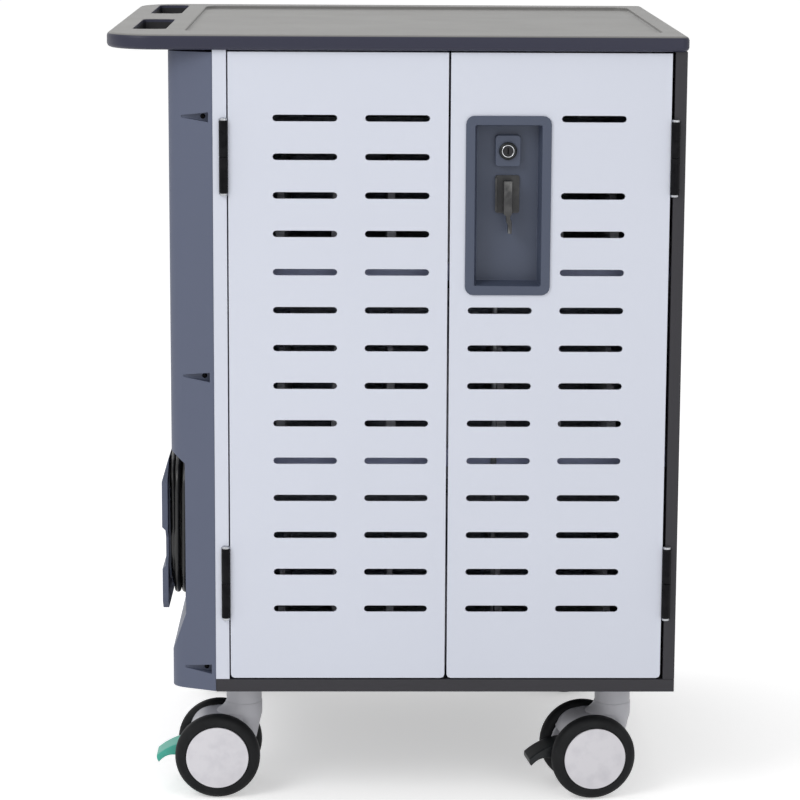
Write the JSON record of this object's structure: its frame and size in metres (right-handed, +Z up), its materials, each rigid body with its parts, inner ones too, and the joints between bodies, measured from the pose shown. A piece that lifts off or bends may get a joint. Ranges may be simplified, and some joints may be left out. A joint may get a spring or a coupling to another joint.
{
  "type": "laptop charging cart",
  "caption": "Wheeled laptop charging cart: louvred steel doors with key lock and turn latch, moulded worktop with pull handle, side bay for the power cord, casters with brakes.",
  "frame": {"origin": "on the floor, under the middle of the worktop's outline", "axes": "+Z up, front doors face -Y, +X to the right of someone facing the doors; the pull handle and cord bay are at -X"},
  "size_m": [0.762, 0.67, 1.048],
  "materials": {
    "top_plastic": "satin",
    "dark_steel": "satin powder coat",
    "pale_steel": "satin powder coat",
    "black_steel": "satin",
    "cup_plastic": "fine grain",
    "bare_steel": "zinc plated",
    "slate_plastic": "fine grain",
    "black_plastic": "satin",
    "black_rubber": "smooth",
    "grey_plastic": "satin",
    "green_plastic": "satin",
    "tyre_rubber": "matt"
  },
  "bodies": {
    "cabinet": {"worktop": "top_plastic", "base_pan": "dark_steel", "right_wall": "dark_steel", "rear_panel": "dark_steel", "left_wall": "pale_steel", "upper_shelf": "pale_steel", "lower_shelf": "pale_steel", "partition": "pale_steel", "left_upper_hinge_pin": "black_steel", "left_lower_hinge_pin": "black_steel", "right_upper_hinge_pin": "black_steel", "right_lower_hinge_pin": "black_steel", "front_left_caster_socket": "bare_steel", "front_right_caster_socket": "bare_steel", "rear_left_caster_socket": "bare_steel", "rear_right_caster_socket": "bare_steel", "side_cover": "slate_plastic", "cord_cleat": "slate_plastic", "cord_gland": "black_plastic", "mains_plug": "black_plastic", "upper_power_strip": "black_plastic", "middle_power_strip": "black_plastic", "lower_power_strip": "black_plastic", "power_controller": "black_plastic", "power_cord": "black_rubber", "upper_divider_rack": "grey_plastic", "middle_divider_rack": "grey_plastic", "lower_divider_rack": "grey_plastic"},
    "left_door": {"left_door": "pale_steel", "left_upper_hinge_barrel": "black_steel", "left_lower_hinge_barrel": "black_steel"},
    "right_door": {"right_door": "pale_steel", "lock_cup": "cup_plastic", "latch_plate": "black_steel", "right_upper_hinge_barrel": "black_steel", "right_lower_hinge_barrel": "black_steel"},
    "lock_cylinder": {"lock_cylinder": "bare_steel"},
    "latch_handle": {"latch_handle": "black_steel", "latch_cam": "bare_steel"},
    "upper_latch_rod": {"upper_latch_rod": "bare_steel"},
    "lower_latch_rod": {"lower_latch_rod": "bare_steel"},
    "rear_lock": {"rear_lock": "bare_steel"},
    "front_left_caster": {"front_left_caster_fork": "grey_plastic", "front_left_axle": "bare_steel"},
    "front_left_wheel_a": {"front_left_wheel_a": "tyre_rubber"},
    "front_left_wheel_b": {"front_left_wheel_b": "tyre_rubber"},
    "front_right_caster": {"front_right_caster_fork": "grey_plastic", "front_right_axle": "bare_steel"},
    "front_right_wheel_a": {"front_right_wheel_a": "tyre_rubber"},
    "front_right_wheel_b": {"front_right_wheel_b": "tyre_rubber"},
    "rear_left_caster": {"rear_left_caster_fork": "grey_plastic", "rear_left_axle": "bare_steel"},
    "rear_left_wheel_a": {"rear_left_wheel_a": "tyre_rubber"},
    "rear_left_wheel_b": {"rear_left_wheel_b": "tyre_rubber"},
    "rear_right_caster": {"rear_right_caster_fork": "grey_plastic", "rear_right_axle": "bare_steel"},
    "rear_right_wheel_a": {"rear_right_wheel_a": "tyre_rubber"},
    "rear_right_wheel_b": {"rear_right_wheel_b": "tyre_rubber"},
    "front_left_brake_pedal": {"front_left_brake_pedal": "green_plastic"},
    "front_right_brake_pedal": {"front_right_brake_pedal": "black_plastic"}
  },
  "joints": [
    {"name": "left_door_hinge", "type": "hinge", "parent": "cabinet", "child": "left_door", "pos_m": [-0.2258, -0.3275, 0.6], "axis": [0, 0, -1], "range_deg": [0, 170]},
    {"name": "right_door_hinge", "type": "hinge", "parent": "cabinet", "child": "right_door", "pos_m": [0.3652, -0.3275, 0.6], "axis": [0, 0, 1], "range_deg": [0, 170]},
    {"name": "key_turn", "type": "hinge", "parent": "right_door", "child": "lock_cylinder", "pos_m": [0.1469, -0.3, 0.8955], "axis": [0, -1, 0], "range_deg": [0, 90]},
    {"name": "latch_turn", "type": "hinge", "parent": "right_door", "child": "latch_handle", "pos_m": [0.1469, -0.3, 0.8225], "axis": [0, -1, 0], "range_deg": [0, 90]},
    {"name": "upper_rod_slide", "type": "slide", "parent": "right_door", "child": "upper_latch_rod", "axis": [0, 0, 1], "range_m": [0, 0.012]},
    {"name": "lower_rod_slide", "type": "slide", "parent": "right_door", "child": "lower_latch_rod", "axis": [0, 0, -1], "range_m": [0, 0.012]},
    {"name": "rear_lock_turn", "type": "hinge", "parent": "cabinet", "child": "rear_lock", "pos_m": [0.0695, 0.32, 0.9677], "axis": [0, 1, 0], "range_deg": [0, 90]},
    {"name": "front_left_swivel", "type": "hinge", "parent": "cabinet", "child": "front_left_caster", "pos_m": [-0.206, -0.242, 0.15], "axis": [0, 0, 1], "continuous": true},
    {"name": "front_left_roll_a", "type": "hinge", "parent": "front_left_caster", "child": "front_left_wheel_a", "pos_m": [-0.241, -0.242, 0.05827], "axis": [0, 1, 0], "continuous": true},
    {"name": "front_left_roll_b", "type": "hinge", "parent": "front_left_caster", "child": "front_left_wheel_b", "pos_m": [-0.241, -0.242, 0.05827], "axis": [0, 1, 0], "continuous": true},
    {"name": "front_right_swivel", "type": "hinge", "parent": "cabinet", "child": "front_right_caster", "pos_m": [0.303, -0.242, 0.15], "axis": [0, 0, 1], "continuous": true},
    {"name": "front_right_roll_a", "type": "hinge", "parent": "front_right_caster", "child": "front_right_wheel_a", "pos_m": [0.26843, -0.24748, 0.05827], "axis": [-0.1564, 0.9877, 0], "continuous": true},
    {"name": "front_right_roll_b", "type": "hinge", "parent": "front_right_caster", "child": "front_right_wheel_b", "pos_m": [0.26843, -0.24748, 0.05827], "axis": [-0.1564, 0.9877, 0], "continuous": true},
    {"name": "rear_left_swivel", "type": "hinge", "parent": "cabinet", "child": "rear_left_caster", "pos_m": [-0.206, 0.242, 0.15], "axis": [0, 0, 1], "continuous": true},
    {"name": "rear_left_roll_a", "type": "hinge", "parent": "rear_left_caster", "child": "rear_left_wheel_a", "pos_m": [-0.241, 0.242, 0.05827], "axis": [0, 1, 0], "continuous": true},
    {"name": "rear_left_roll_b", "type": "hinge", "parent": "rear_left_caster", "child": "rear_left_wheel_b", "pos_m": [-0.241, 0.242, 0.05827], "axis": [0, 1, 0], "continuous": true},
    {"name": "rear_right_swivel", "type": "hinge", "parent": "cabinet", "child": "rear_right_caster", "pos_m": [0.303, 0.242, 0.15], "axis": [0, 0, 1], "continuous": true},
    {"name": "rear_right_roll_a", "type": "hinge", "parent": "rear_right_caster", "child": "rear_right_wheel_a", "pos_m": [0.268, 0.242, 0.05827], "axis": [0, 1, 0], "continuous": true},
    {"name": "rear_right_roll_b", "type": "hinge", "parent": "rear_right_caster", "child": "rear_right_wheel_b", "pos_m": [0.268, 0.242, 0.05827], "axis": [0, 1, 0], "continuous": true},
    {"name": "front_left_brake", "type": "hinge", "parent": "front_left_caster", "child": "front_left_brake_pedal", "pos_m": [-0.277, -0.242, 0.07027], "axis": [0, -1, 0], "range_deg": [0, 14]},
    {"name": "front_right_brake", "type": "hinge", "parent": "front_right_caster", "child": "front_right_brake_pedal", "pos_m": [0.23287, -0.25311, 0.07027], "axis": [0.1564, -0.9877, 0], "range_deg": [0, 14]}
  ],
  "couplings": [
    {"joint": "latch_turn", "follows": "lower_rod_slide", "rad_per_m": 130.9},
    {"joint": "upper_rod_slide", "follows": "lower_rod_slide", "ratio": 1}
  ]
}
